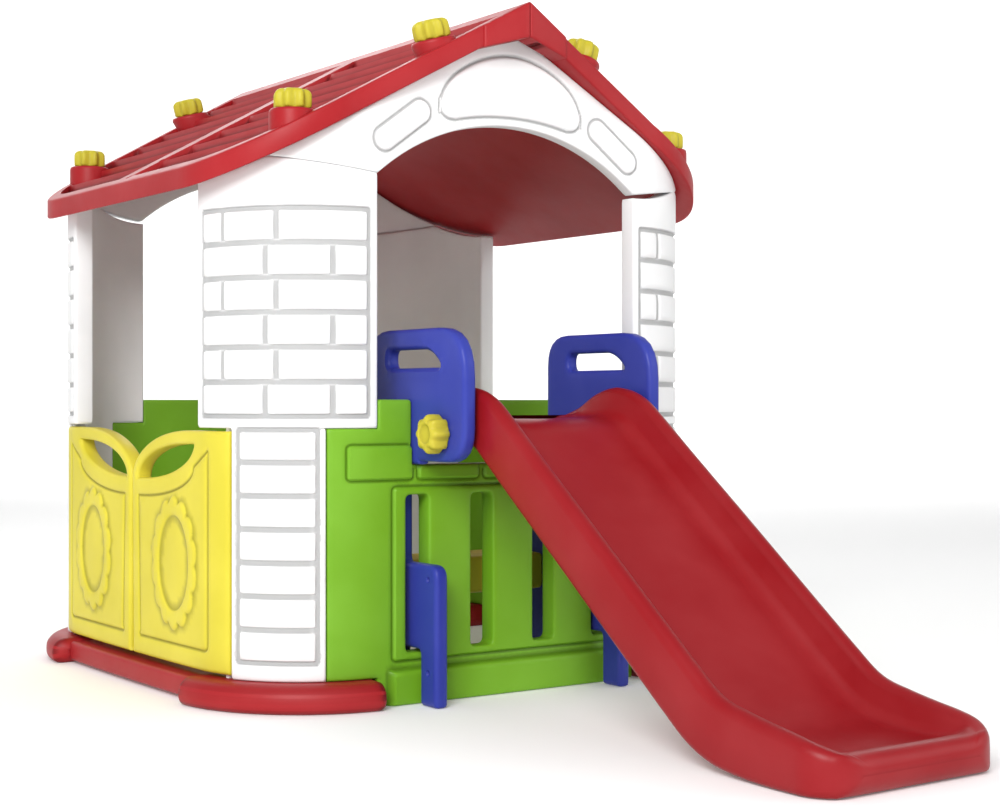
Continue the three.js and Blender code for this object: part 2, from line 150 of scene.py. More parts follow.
def inside(points, loop):
    """Which points lie in a loop."""
    result = np.zeros(len(points), bool)
    x, y = points[:, 0], points[:, 1]
    for (x0, y0), (x1, y1) in zip(loop, np.roll(loop, -1, 0)):
        if y0 != y1:
            crosses = (y0 > y) != (y1 > y)
            result ^= crosses & (x < (x1 - x0) * (y - y0) / (y1 - y0) + x0)
    return result


def distance(points, loop, closed=True):
    """Distance of each point to a polyline."""
    best = np.full(len(points), 1e9)
    ends = np.roll(loop, -1, 0) if closed else loop[1:]
    for p, q in zip(loop, ends):
        d = q - p
        t = np.clip(((points - p) @ d) / max(d @ d, 1e-12), 0, 1)
        best = np.minimum(best, np.hypot(*(points - p - t[:, None] * d).T))
    return best


def depth_in(points, loop):
    """How far inside a loop each point is; negative outside."""
    return np.where(inside(points, loop), 1, -1) * distance(points, loop)


def smooth(x):
    """A soft step from 0 at x = 0 to 1 at x = 1."""
    x = np.clip(x, 0, 1)
    return x * x * (3 - 2 * x)


def beside(loop, offsets, step):
    """Loops of points alongside a loop, to give a moulded line clean edges."""
    loop = resample(loop, step)
    along = np.roll(loop, -1, 0) - np.roll(loop, 1, 0)
    normal = np.stack([-along[:, 1], along[:, 0]], 1)
    normal /= np.maximum(np.linalg.norm(normal, axis=1, keepdims=True), 1e-9)
    return [loop + normal * o for o in offsets]


def lines(low, high, step, at=(), near=(-3, -1, 1, 3)):
    """Grid lines from low to high, with closer ones beside each place in at."""
    special = sorted({round(a + n, 2) for a in at for n in near if low <= a + n <= high})
    plain = [v for v in np.arange(low, high + step, step) if all(abs(v - s) > step * 0.45 for s in special)]
    return np.array(sorted(special + plain))


# ------------------------------------------------------------------ moulded sheets
FULLY_HOLLOW = 2.4              # a point this far below what is round it is shaded as deeply as any


def make_mesh(name, points, faces, smooth_angle=42):
    """A mesh object from points in millimetres round the house's middle.

    A point's fourth number, where there is one, says how much shade is painted on the surface there, by how
    far it lies below what is round it.
    """
    points = np.array(points, float)
    painted_hollow_shade, points = points[:, 3:].ravel(), (points[:, :3] + (0, HOUSE_Y, 0)) * MM
    mesh = bpy.data.meshes.new(name)
    mesh.from_pydata(points.tolist(), [], [list(map(int, f)) for f in faces])
    mesh.validate()
    if len(painted_hollow_shade):
        mesh.attributes.new("painted_hollow_shade", "FLOAT", "POINT").data.foreach_set("value", painted_hollow_shade)
    mesh.polygons.foreach_set("use_smooth", [True] * len(mesh.polygons))
    mesh.set_sharp_from_angle(angle=math.radians(smooth_angle))
    ob = bpy.data.objects.new(name, mesh)
    bpy.context.scene.collection.objects.link(ob)
    return ob


def triangulate(points, loops):
    """Triangles between an outer loop and its holes. points starts with the points of the loops."""
    edges, start = [], 0
    for loop in loops:
        n = len(loop)
        edges += [(start + i, start + (i + 1) % n) for i in range(n)]
        start += n
    found = delaunay_2d_cdt([Vector(p) for p in points], edges, [], 0, 1e-4)
    verts = np.array([tuple(v) for v in found[0]])
    tris = np.array([f for f in found[2] if len(f) == 3])
    middles = verts[tris].mean(1)
    keep = inside(middles, loops[0])
    for hole in loops[1:]:
        keep &= ~inside(middles, hole)
    a, b, c = (verts[tris[:, i]] for i in range(3))
    thin = np.abs((b - a)[:, 0] * (c - a)[:, 1] - (b - a)[:, 1] * (c - a)[:, 0]) < 1e-7
    return verts, tris[keep & ~thin]


def rim_faces(tris, n):
    """Faces that join the open edges of a front to its back, whose points come n later."""
    edges = {(t[i], t[(i + 1) % 3]): None for t in tris for i in range(3)}
    return [(j, i, i + n, j + n) for i, j in edges if (j, i) not in edges]


def hollowness(points, relief, reach):
    """How far each point of a relief lies below what is round it, from 0 to 1; the materials paint shade
    there by this amount.
    """
    ring = [(reach * math.cos(a), reach * math.sin(a)) for a in np.linspace(0, 2 * math.pi, 7)[:-1]]
    around = np.mean([relief(points + r) for r in ring], 0)
    return np.clip((around - relief(points)) / FULLY_HOLLOW, 0, 1)


def sheet_mesh(outline, place, thick, us, vs, holes=(), relief=None, marks=(), edge=4, step=6, clear=1.5,
               reach=7):
    """Points and faces of a moulded sheet: an outline with holes, edges rounded, raised by relief(points).

    place(u, v, h) gives the point at height h over the sheet's face. us and vs are its grid lines.
    marks are loops of points that the surface must pass through, such as the sides of a groove, and
    grid points keep clear of them. reach is how far round a point hollowness looks.
    """
    loops = [resample(np.array(loop, float), step) for loop in (outline, *holes)]
    loops = [loop if (area(loop) > 0) == (i == 0) else loop[::-1] for i, loop in enumerate(loops)]
    border = np.concatenate(loops)

    def depth(points):
        d = depth_in(points, loops[0])
        for hole in loops[1:]:
            d = np.minimum(d, -depth_in(points, hole))
        return d

    rings = []
    for inset in (0.12 * edge, 0.45 * edge, edge):
        ring = np.concatenate([beside(loop, [inset], step)[0] for loop in loops])
        rings.append(ring[depth(ring) > inset * 0.93])
    grid = np.stack(np.meshgrid(us, vs, indexing="ij"), -1).reshape(-1, 2)
    grid = grid[depth(grid) > edge + clear]
    marked = np.concatenate(marks) if len(marks) else np.zeros((0, 2))
    if len(marked):
        marked = marked[depth(marked) > edge + 0.3]
        for m in marks:
            grid = grid[distance(grid, m) > clear]
    verts, tris = triangulate(np.concatenate([border, *rings, grid, marked]), loops)
    n = len(verts)
    d = np.maximum(depth(verts), 0)
    d[distance(verts, loops[0]) < 1e-3] = 0
    drop = edge - np.sqrt(np.maximum(edge ** 2 - (edge - np.minimum(d, edge)) ** 2, 0))   # the rounded edge
    top = -drop + (relief(verts) if relief else 0)
    low = -thick + drop
    # the shade painted into grooves and recesses, carried to the material as a mesh attribute
    painted_hollow_shade = hollowness(verts, relief, reach) if relief else np.zeros(n)
    points = np.concatenate([place(*verts.T, top), place(*verts.T, low)])
    points = np.column_stack([points, np.concatenate([painted_hollow_shade, np.zeros(n)])])
    faces = [tuple(t) for t in tris] + [(t[0] + n, t[2] + n, t[1] + n) for t in tris]
    return points, faces + rim_faces(tris, n)


def grid_faces(nu, nv, close_u=False, close_v=False):
    """Faces of a grid of points indexed u * nv + v."""
    faces = []
    for i in range(nu if close_u else nu - 1):
        for j in range(nv if close_v else nv - 1):
            i2, j2 = (i + 1) % nu, (j + 1) % nv
            faces.append((i * nv + j, i2 * nv + j, i2 * nv + j2, i * nv + j2))
    return faces


def flipped(faces):
    """The same faces seen from the other side."""
    return [tuple(reversed(f)) for f in faces]


# ------------------------------------------------------------------ materials
def plastic(name, colour, roughness=0.34, mottle=0.035, grain=0.05, deep=0.82):
    """Moulded plastic: faint mottling, fine grain, painted shade in grooves and recesses, softly worn edges
    and uneven gloss.

    mottle is how much the colour varies, and deep is the share of the colour that is left where shade is
    painted into a groove or recess.
    """
    mat = bpy.data.materials.new(name)
    mat.use_nodes = True
    nodes, links = mat.node_tree.nodes, mat.node_tree.links
    shader = nodes["Principled BSDF"]
    coords = nodes.new("ShaderNodeTexCoord")

    def noise(scale, detail):
        n = nodes.new("ShaderNodeTexNoise")
        n.inputs["Scale"].default_value = scale
        n.inputs["Detail"].default_value = detail
        links.new(coords.outputs["Object"], n.inputs["Vector"])
        return n.outputs["Fac"]

    def ramp(value, p0, c0, p1, c1):
        r = nodes.new("ShaderNodeValToRGB")
        r.color_ramp.elements[0].position, r.color_ramp.elements[0].color = p0, c0
        r.color_ramp.elements[1].position, r.color_ramp.elements[1].color = p1, c1
        links.new(value, r.inputs["Fac"])
        return r.outputs["Color"]

    def mix(kind, factor, a, b):
        m = nodes.new("ShaderNodeMix")
        m.data_type, m.blend_type = "RGBA", kind
        for socket, value in ((m.inputs["Factor"], factor), (m.inputs[6], a), (m.inputs[7], b)):
            if isinstance(value, (int, float, tuple)):
                socket.default_value = value
            else:
                links.new(value, socket)
        return m.outputs[2]

    # the darker colour below is painted shade for grooves and recesses
    painted_shade_colour = tuple(c * deep for c in colour) + (1,)
    light = tuple(min(1, c * 1.05 + 0.01) for c in colour) + (1,)
    tone = ramp(noise(5.5, 4), 0.38, tuple(c * (1 - mottle) for c in colour) + (1,), 0.64, light)
    # painted shade: the colour is darkened in concave creases (low pointiness) and by the mesh's shade
    # attribute, which is set where the relief sinks below what is round it
    geometry = nodes.new("ShaderNodeNewGeometry")
    painted_hollow_shade = ramp(geometry.outputs["Pointiness"], 0.44, (1, 1, 1, 1), 0.497, (0, 0, 0, 1))
    worn = ramp(geometry.outputs["Pointiness"], 0.52, (0, 0, 0, 1), 0.62, (0.35, 0.35, 0.35, 1))
    sunk = nodes.new("ShaderNodeAttribute")
    sunk.attribute_name = "painted_hollow_shade"
    shaded = mix("MIX", sunk.outputs["Fac"], mix("MIX", painted_hollow_shade, tone, painted_shade_colour), painted_shade_colour)
    links.new(mix("MIX", worn, shaded, light), shader.inputs["Base Color"])
    gloss = nodes.new("ShaderNodeMapRange")
    gloss.inputs["To Min"].default_value = roughness - 0.05
    gloss.inputs["To Max"].default_value = roughness + 0.09
    links.new(noise(18, 5), gloss.inputs["Value"])
    links.new(gloss.outputs["Result"], shader.inputs["Roughness"])
    bump = nodes.new("ShaderNodeBump")
    bump.inputs["Strength"].default_value = grain
    bump.inputs["Distance"].default_value = 0.0008
    links.new(noise(240, 2), bump.inputs["Height"])
    links.new(bump.outputs["Normal"], shader.inputs["Normal"])
    shader.inputs["IOR"].default_value = 1.5
    shader.inputs["Specular IOR Level"].default_value = 0.22
    shader.inputs["Subsurface Weight"].default_value = 0.04
    shader.inputs["Subsurface Radius"].default_value = (0.012, 0.008, 0.006)
    return mat


# each moulding's deep value, given last or as deep=, sets how dark its painted shade in grooves and recesses
# is
MATERIALS = {
    "white": plastic("white moulding", (0.82, 0.82, 0.82), 0.44, 0.010, 0.04, 0.52),
    "red": plastic("red moulding", (0.345, 0.010, 0.014), 0.42, deep=0.35),
    "slide_red": plastic("slide moulding", (0.29, 0.005, 0.009), 0.36),
    "green": plastic("green moulding", (0.165, 0.390, 0.015), 0.38, deep=0.55),
    "door_yellow": plastic("door moulding", (0.66, 0.57, 0.044), 0.40, 0.03, 0.05, 0.48),
    "knob_yellow": plastic("knob moulding", (0.50, 0.43, 0.030), 0.40, deep=0.6),
    "blue": plastic("blue moulding", (0.028, 0.042, 0.32), 0.36),
}


def finish(ob, slot, body, *replaces):
    """Give a piece its material and its body, and hide the CAD nodes it stands for."""
    ob.data.materials.append(MATERIALS[slot])
    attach(ob, body)
    if replaces:
        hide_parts(*replaces)
    return ob


# ------------------------------------------------------------------ places
def turned(points, quarter_turns):
    """Points of the front wall carried round to another side."""
    c, s = [(1, 0), (0, 1), (-1, 0), (0, -1)][quarter_turns % 4]
    x, y, z = points.T
    return np.stack([c * x - s * y, s * x + c * y, z], 1)


def wall(u, v, h, quarter_turns=0, inset=0, bow=0):
    """The outside of the front wall, u along it and round its corners, v up and h outwards."""
    u, v, h = np.broadcast_arrays(np.asarray(u, float), v, h)
    out = h - inset + bow * np.clip(1 - (u / C) ** 2, 0, 1)
    a = np.clip((np.abs(u) - C) / CORNER_R, 0, None)
    side = np.sign(u)
    x = np.where(np.abs(u) <= C, u, side * (C + (CORNER_R + out) * np.sin(a)))
    y = np.where(np.abs(u) <= C, -HALF - out, -(C + (CORNER_R + out) * np.cos(a)))
    return turned(np.stack([x, y, v], 1), quarter_turns)


def wall_x(u):
    """How far round to the side a place on the front wall is."""
    a = np.clip((np.abs(u) - C) / CORNER_R, 0, None)
    return np.where(np.abs(u) <= C, np.abs(u), C + CORNER_R * np.sin(a))


def roof_top(x):
    return ROOF_APEX - ROOF_SLOPE * np.abs(x)


def roof_under(x):
    return roof_top(x) - ROOF_T - GAP


# ------------------------------------------------------------------ corner pillars
MORTAR, MORTAR_DEPTH = 9, 5.0


def brick_relief(bricks, fields):
    """Bricks standing in sunk fields. Each brick and field is (u0, u1, v0, v1)."""
    def box_depth(p, b, r):
        qx = np.abs(p[:, 0] - (b[0] + b[1]) / 2) - (b[1] - b[0]) / 2 + r
        qy = np.abs(p[:, 1] - (b[2] + b[3]) / 2) - (b[3] - b[2]) / 2 + r
        return r - np.hypot(np.maximum(qx, 0), np.maximum(qy, 0)) - np.minimum(np.maximum(qx, qy), 0)

    def relief(p):
        sunk = np.max([smooth(box_depth(p, f, 8) / 2.6) for f in fields], 0)
        stand = np.max([smooth((box_depth(p, b, 5) + 0.6) / 3.4) for b in bricks], 0)
        return -MORTAR_DEPTH * sunk * (1 - stand)
    return relief


def bricks_in(field, rows, joints):
    """Rows of bricks that fill a field. joints gives each row's upright joints as shares of its width."""
    u0, u1, v0, v1 = field
    m, height = MORTAR / 2, (v1 - v0 - MORTAR) / rows
    out = []
    for r in range(rows):
        ends = [0, *joints[r % len(joints)], 1]
        z = v0 + m + r * height
        for a, b in zip(ends, ends[1:]):
            width = u1 - u0 - MORTAR
            out.append((u0 + m + a * width + m, u0 + m + b * width - m, z + m, z + height - m))
    return out


def seam(u):
    """Where the gable board meets the pillar below it: it climbs a little round the corner."""
    return PILLAR_TOP + 24 * np.clip((np.abs(u) - C) / (ARC / 2), 0, 1.1)


def pillar_top(u):
    """Top of a pillar, u from its gable edge (C) to its side edge (C + ARC)."""
    return np.minimum(seam(u), roof_under(wall_x(u)) - 1)


pillar_us = -C - np.linspace(0.8, ARC, 60)
mid_u = -C - ARC / 2
pillar_outline = np.concatenate([
    np.array([[-C - 0.8, PILLAR_STEP]]),
    np.stack([pillar_us, pillar_top(pillar_us)], 1),
    rounded([(-C - ARC, PILLAR_STEP), (mid_u - FOOT_HALF, PILLAR_STEP, 6), (mid_u - FOOT_HALF, PILLAR_FOOT),
             (mid_u + FOOT_HALF, PILLAR_FOOT), (mid_u + FOOT_HALF, PILLAR_STEP, 6)])])
WIDE_FIELD = (-C - ARC + 13, -C - 13, 524, 910)
FOOT_FIELD = (mid_u - FOOT_HALF + 9, mid_u + FOOT_HALF - 9, 80, 511)
pillar_bricks = bricks_in(WIDE_FIELD, 6, [(0.44, 0.80), (0.17, 0.50)]) + bricks_in(FOOT_FIELD, 7, [()])
pillar_relief = brick_relief(pillar_bricks, [WIDE_FIELD, FOOT_FIELD])
brick_us = sorted({round(e, 2) for b in pillar_bricks + [WIDE_FIELD, FOOT_FIELD] for e in b[:2]})
brick_vs = sorted({round(e, 2) for b in pillar_bricks + [WIDE_FIELD, FOOT_FIELD] for e in b[2:]})
FINE = (-2.8, -1.2, 0.4, 1.6, 2.9)        # grid lines beside a brick's edge
STEP = 7
for turn, corner in enumerate(CORNERS):
    points, faces = sheet_mesh(
        pillar_outline, lambda u, v, h, k=turn: wall(u, v, h, k), PILLAR_T,
        lines(-C - ARC, -C, STEP, brick_us, FINE),
        lines(PILLAR_FOOT, PILLAR_TOP, STEP * 1.5, brick_vs, FINE),
        relief=pillar_relief, edge=5, clear=1.2, reach=11)
    finish(make_mesh(f"pillar_{corner}_moulded", points, faces, 50), "white", "house", f"pillar_{corner}")

# ------------------------------------------------------------------ gable boards
GABLE_T = 30
ARCH_CROWN = 1082
arch_rise = ARCH_CROWN - PILLAR_TOP
ARCH_R = (C * C + arch_rise * arch_rise) / (2 * arch_rise)
arch_half = math.degrees(math.asin(C / ARCH_R))
arch_line = arc(0, ARCH_CROWN - ARCH_R, ARCH_R, 90 + arch_half, 90 - arch_half, 40)
end_us = np.linspace(C, C + ARC * 0.62, 30)
end_us = end_us[seam(end_us) + 3 < roof_under(wall_x(end_us))]
under_us = np.linspace(end_us[-1], 0, 60)
right_end = np.stack([end_us, seam(end_us) + GAP], 1)
right_top = np.stack([under_us, roof_under(wall_x(under_us))], 1)
gable_outline = np.concatenate([arch_line[1:-1], right_end, right_top,
                                (right_top * (-1, 1))[::-1][1:], (right_end * (-1, 1))[::-1]])
kidney = rounded([(-165, 1078, 44), (-88, 1096, 44), (0, 1102, 44), (88, 1096, 44), (165, 1078, 44),
                  (162, 1142, 46), (92, 1196, 48), (0, 1219, 46), (-92, 1196, 48), (-162, 1142, 46)])
lozenge = capsule((-284, 1036), (-208, 1092), 21)
badges = [kidney, lozenge, lozenge * (-1, 1)]


def badge_relief(p):
    """Raised pads with a fine moulded line round them."""
    total = np.zeros(len(p))
    for badge in badges:
        d = depth_in(p, badge)
        total += 3.2 * smooth((d + 1) / 5) - 3.6 * np.exp(-((d + 3) / 2.6) ** 2)
    return total


badge_marks = [m for badge in badges for m in beside(badge, (-13, -8.5, -5, -3, -1.2, 1.4, 4, 6.5), 5)]
for turn, end in ((0, "front"), (2, "back")):
    points, faces = sheet_mesh(
        gable_outline, lambda u, v, h, k=turn: wall(u, v, h, k), GABLE_T,
        lines(-620, 620, 12), lines(960, 1280, 12),
        relief=badge_relief, marks=badge_marks, edge=4, clear=4)
    finish(make_mesh(f"gable_{end}_moulded", points, faces), "white", "house", f"gable_{end}")

# ------------------------------------------------------------------ low walls
INSET = 2                                 # how far panels and doors sit back from the pillars
PANEL_END = C + ARC / 2 - FOOT_HALF - 1.5      # where a panel meets the pillar's foot
RAIL_TOP, RAIL_OUT = 64, 13
SLOT_PITCH, SLOT_HALF, SLOT_LOW, SLOT_HIGH = 144, 25, 95, 385
NOTCH_FLOOR = 440
NOTCH_X = -frame_low.x + GAP


def panel_outline(notched):
    """A panel between two pillars, with ears that reach their feet and, on the fence, a slide notch."""
    ear, body = PANEL_END, C - GAP
    ear_low, ear_top = bumper_high.z + GAP, PILLAR_STEP - GAP
    notch = [(NOTCH_X, PANEL_TOP, 8), (NOTCH_X, NOTCH_FLOOR),
             (-NOTCH_X, NOTCH_FLOOR), (-NOTCH_X, PANEL_TOP, 8)]
    foot = [(-ear, ear_low), (-body, ear_low), (-body, 1), (body, 1), (body, ear_low), (ear, ear_low)]
    top = [(ear, ear_top), (body, ear_top), (body, PANEL_TOP, 8)] + (notch if notched else [])
    return rounded(foot + top + [(-body, PANEL_TOP, 8), (-body, ear_top), (-ear, ear_top)])


def box_loop(u0, u1, v0, v1, r=10):
    """A box with rounded corners."""
    return rounded([(u0, v0, r), (u1, v0, r), (u1, v1, r), (u0, v1, r)])


SLOTS = [(k * SLOT_PITCH) for k in (-1.5, -0.5, 0.5, 1.5)]
slot_loops = [box_loop(x - SLOT_HALF, x + SLOT_HALF, SLOT_LOW, SLOT_HIGH, 12) for x in SLOTS]
BAND = (412, 477)
fence_pads = [(-361 + k * 147, -223 + k * 147, *BAND) for k in range(5)] + [(-268, 268, 80, 400)]
panel_bricks = [(u, u + 126, v, v + 62) for v, first in ((430, -336), (358, -400)) for u in
                (first + 138 * k for k in range(6)) if -370 < u and u + 126 < 370]


def rail_relief(p):
    """The base rail stands out of the wall."""
    return RAIL_OUT * smooth((RAIL_TOP + 3 - p[:, 1]) / 8) * smooth((C - 20 - np.abs(p[:, 0])) / 8)


def groove_relief(p, loops, width=3.2, deep=2.6):
    """A soft groove along each loop."""
    total = np.zeros(len(p))
    for loop in loops:
        total -= deep * np.exp(-(distance(p, loop) / width) ** 2)
    return total


def wall_panel(name, turn, holes, boxes, notched):
    """A low wall with a base rail and raised boxes with a groove round each."""
    loops = [box_loop(*b) for b in boxes]

    def relief(p):
        raised = sum(4.5 * smooth((depth_in(p, l) + 1) / 5) for l in loops)
        return rail_relief(p) + groove_relief(p, loops) + raised

    marks = [m for loop in loops for m in beside(loop, (-5, -2.2, 0, 2.2, 5), 7)]
    points, faces = sheet_mesh(
        panel_outline(notched), lambda u, v, h: wall(u, v, h, turn, INSET), PANEL_T,
        lines(-PANEL_END, PANEL_END, 13, (-C + 20, C - 20), (-9, -6, -3, 0)),
        lines(0, PANEL_TOP, 13, (RAIL_TOP,), (-6, -3, 0, 3)),
        holes=holes, relief=relief, marks=marks, edge=5, clear=3)
    return finish(make_mesh(name + "_moulded", points, faces), "green", "house", name)


wall_panel("front_fence", 0, slot_loops, fence_pads, True)
wall_panel("right_panel", 1, (), panel_bricks, False)
wall_panel("back_panel", 2, (), panel_bricks, False)

# ------------------------------------------------------------------ roof
FRAME_W, RIDGE_HALF, RIB_HALF = 30, 52, 30    # plain borders of the two sunk fields of tiles
ROWS, RISER = 8, 0.06                     # tile rows on each slope, and a riser's share of a row
FIELD_DROP, TILE_DROP = 2, 18             # depth of a field, and of the foot of each row below it
X, Y, R = ROOF_X, ROOF_Y, ROOF_CORNER
ROW = (X - FRAME_W - RIDGE_HALF) / (ROWS - RISER)
CY = Y - PROW * (X - R) - R               # corner centres, behind the drawn-back verges
roof_outline = np.concatenate([[[0.3, -Y]], arc(X - R, -CY, R, -90, 0, 24), arc(X - R, CY, R, 0, 90, 24),
                               [[0.3, Y]]])
near_field = np.concatenate([[[RIDGE_HALF, -RIB_HALF], [RIDGE_HALF, -Y + FRAME_W + PROW * RIDGE_HALF]],
                             arc(X - R, -CY, R - FRAME_W, -90, 0, 24), [[X - FRAME_W, -RIB_HALF]]])
fields = [near_field, near_field * (1, -1)]
SCREWS = [(X - 26, -22), (X - 96, -22)]


def roof_relief(p):
    """Lapped tile rows in two sunk fields, and small screw holes on the middle rib."""
    sunk = np.max([smooth((depth_in(p, f) + 2) / 4) for f in fields], 0)
    along = np.clip((X - FRAME_W - p[:, 0]) / ROW + RISER, RISER, ROWS - 1e-6)
    lap = along - np.floor(along)
    slope = smooth((lap - RISER) / (1 - RISER)) ** 0.8
    rows = -FIELD_DROP - TILE_DROP * np.where(lap < RISER, 1 - smooth(lap / RISER), slope)
    holes = sum(-9 * smooth((6.5 - np.hypot(p[:, 0] - a, p[:, 1] - b)) / 1.6) for a, b in SCREWS)
    return sunk * rows + holes


row_lines = [X - FRAME_W - (k - RISER) * ROW for k in range(1, ROWS)]
roof_marks = [m for f in fields for m in beside(f, (-2.2, 0, 2.2), 9)]
roof_marks += [arc(a, b, r, 0, 342, 19) for a, b in SCREWS for r in (2, 4.6, 5.6, 6.8)]
for side, name in ((-1, "roof_left"), (1, "roof_right")):
    points, faces = sheet_mesh(
        roof_outline, lambda u, v, h, s=side: np.stack([s * u, v, roof_top(u) + h], 1), ROOF_T,
        lines(0, X, 16, row_lines, (-3.9, -2.4, -0.3, 3)), lines(-Y, Y, 18), relief=roof_relief,
        marks=roof_marks, edge=4, clear=2.2)
    if side < 0:
        faces = flipped(faces)
    finish(make_mesh(name + "_moulded", points, faces, 38), "red", "house", name)


# a thicker block closes each end of the ridge, standing a little proud of the verge
BLOCK_W, END_DROP, END_L, PROUD = 96, 68, 40, 5
for side, half in ((-1, "left"), (1, "right")):
    w = BLOCK_W
    block = rounded([(0.4, ROOF_APEX - 0.6), (0.4, ROOF_APEX - END_DROP, 3),
                     (w, roof_top(w) - ROOF_T - 1, 4), (w, roof_top(w) - 0.6, 4)], 5)
    for end, sy in (("front", -1), ("back", 1)):
        points, faces = sheet_mesh(
            block, lambda u, v, h, a=side, b=sy: np.stack([a * u, b * (Y - PROW * u + PROUD + h), v], 1),
            END_L + PROUD, lines(0, w, 14), lines(1190, ROOF_APEX, 14), edge=4)
        if side * sy > 0:
            faces = flipped(faces)
        finish(make_mesh(f"ridge_end_{half}_{end}", points, faces), "red", "house")


# ------------------------------------------------------------------ turned and lobed pieces
def lathe(profile, lobes=0, lobe_depth=0.0, around=96):
    """A solid of revolution about Z from (radius, height, share of lobes) entries."""
    a = np.linspace(0, 2 * math.pi, around, endpoint=False)
    rings = []
    for r, z, *share in profile:
        wave = r + (share[0] if share else 0) * lobe_depth * (np.cos(lobes * a) - 0.3)
        rings.append(np.stack([wave * np.cos(a), wave * np.sin(a), np.full(around, z)], 1))
    points = np.concatenate(rings)
    n = len(profile)
    faces = [(i * around + j, i * around + (j + 1) % around, (i + 1) * around + (j + 1) % around,
              (i + 1) * around + j) for i in range(n - 1) for j in range(around)]
    faces.append(tuple(reversed(range(around))))
    faces.append(tuple(range((n - 1) * around, n * around)))
    return points, faces


knob_profile = [                          # radius, height, share of the lobes
    (10, -24), (10, 0), (28, 0), (31, 1.2, 0.6), (33, 4, 1), (33.4, 16, 1), (33, 26, 1), (31.5, 30, 0.95),
    (28.5, 33.4, 0.75), (25, 35.4, 0.5), (21, 36, 0.2), (19, 35.6, 0), (17, 33.4, 0), (12, 33, 0), (3, 33, 0)]
knob_points, knob_faces = lathe(knob_profile, lobes=8, lobe_depth=3.4)
boss_profile = [(43, -90), (43, -8), (42, -3), (40, -0.9), (37, -0.5), (20, -0.5)]
boss_points, boss_faces = lathe(boss_profile)


def tilt_y(points, degrees):
    """Points turned about Y."""
    a = math.radians(degrees)
    x, y, z = points.T
    return np.stack([x * math.cos(a) + z * math.sin(a), y, -x * math.sin(a) + z * math.cos(a)], 1)


KNOB_RISE = 16                            # knob seats above the roof's frame
KNOB_ROWS = (("low", 440, 0), ("high", 172, 15))      # name, distance from the ridge, degrees of tilt
for row, x0, tilt in KNOB_ROWS:
    seat = roof_top(x0) + KNOB_RISE
    for end, sy in (("front", -1), ("back", 1)):
        low, high = node_box(f"roof_knob_left_{end}_{row}")
        y0 = (low.y + high.y) / 2 - HOUSE_Y
        for side, sx in (("left", -1), ("right", 1)):
            at = np.array([sx * x0, y0, seat])
            name = f"roof_knob_{side}_{end}_{row}"
            finish(make_mesh(name + "_cap", tilt_y(knob_points, sx * tilt) + at, knob_faces, 60),
                   "knob_yellow", "house", name)
            boss = tilt_y(boss_points, sx * tilt) + at
            floor = roof_top(boss[:, 0]) - ROOF_T * 0.6
            boss[:, 2] = np.maximum(boss[:, 2], floor)
            finish(make_mesh(f"roof_boss_{side}_{end}_{row}", boss, boss_faces, 50), "red", "house")

# ------------------------------------------------------------------ base
BUMPER_W = 130
END_FROM = 0.93                           # share of a bumper's half length where its rounded end starts
bumper_outer = -bumper_low.x - C
bumper_inner = bumper_outer - BUMPER_W
top_z = bumper_high.z
section = rounded([(bumper_inner, 0, 4), (bumper_outer - 4, 0, 16), (bumper_outer, top_z * 0.5, 12),
                   (bumper_outer - 10, top_z, 22), (bumper_inner, top_z, 4)], 8)
section = resample(section, 6)
middle = np.array([bumper_outer - 66, top_z / 2])
for turn, corner in enumerate(CORNERS):
    stations = []
    for t in np.linspace(-1, 1, 61):
        # the ends are rounded off by drawing the section in towards its middle
        over = np.clip((abs(t) - END_FROM) / (1 - END_FROM), 0, 1)
        shrink = math.sqrt(max(1 - over ** 2, 0.0))
        a = math.radians(225 + 45 * t)
        r = middle[0] + (section[:, 0] - middle[0]) * (0.55 + 0.45 * shrink)
        z = middle[1] + (section[:, 1] - middle[1]) * (0.35 + 0.65 * shrink)
        stations.append(np.stack([-C + r * math.cos(a), -C + r * math.sin(a), z], 1))
    n = len(section)
    points = turned(np.concatenate(stations), turn)
    faces = grid_faces(len(stations), n, close_v=True)
    faces += [tuple(range(n))[::-1], tuple(range((len(stations) - 1) * n, len(stations) * n))]
    finish(make_mesh(f"bumper_{corner}_moulded", points, flipped(faces), 50), "red", "house",
           f"corner_bumper_{corner}")

DOOR_BOW = -leaf_low.x - HALF + INSET
SILL_LOW, SILL_TOP, SILL_T, SILL_OUT = 6, 46, 84, 14.0
points, faces = sheet_mesh(
    box_loop(-C + 1, C - 1, SILL_LOW, SILL_TOP, 4), lambda u, v, h: wall(u, v, h, 3, 0, DOOR_BOW), SILL_T,
    lines(-C, C, 20), lines(SILL_LOW, SILL_TOP, 10),
    relief=lambda p: np.full(len(p), SILL_OUT), edge=9, step=8)
finish(make_mesh("door_sill_moulded", points, faces), "red", "house", "door_sill")

# ------------------------------------------------------------------ half-doors
DOOR_LOW, DOOR_TOP = leaf_low.z, leaf_high.z
SCOOP_LOW = 406                           # lowest point of the scooped top
HANDLE_W = 26
MEETING = 2.5                             # from the middle of the doorway to a leaf
HINGE_ANGLE = 18.5                        # the hinge is this many degrees round the corner
LEAF_END = C + CORNER_R * math.radians(HINGE_ANGLE) + DOOR_T / 2 - 1
REACH = C - 12


def quarter(width, height, u0, bulging):
    """Quarter arc from low at the meeting edge to high at the hinge side."""
    a = np.linspace(0, math.pi / 2, 24)
    if bulging:
        return np.stack([u0 + width * (1 - np.cos(a)), SCOOP_LOW + height * np.sin(a)], 1)
    return np.stack([u0 + width * np.sin(a), SCOOP_LOW + height * (1 - np.cos(a))], 1)


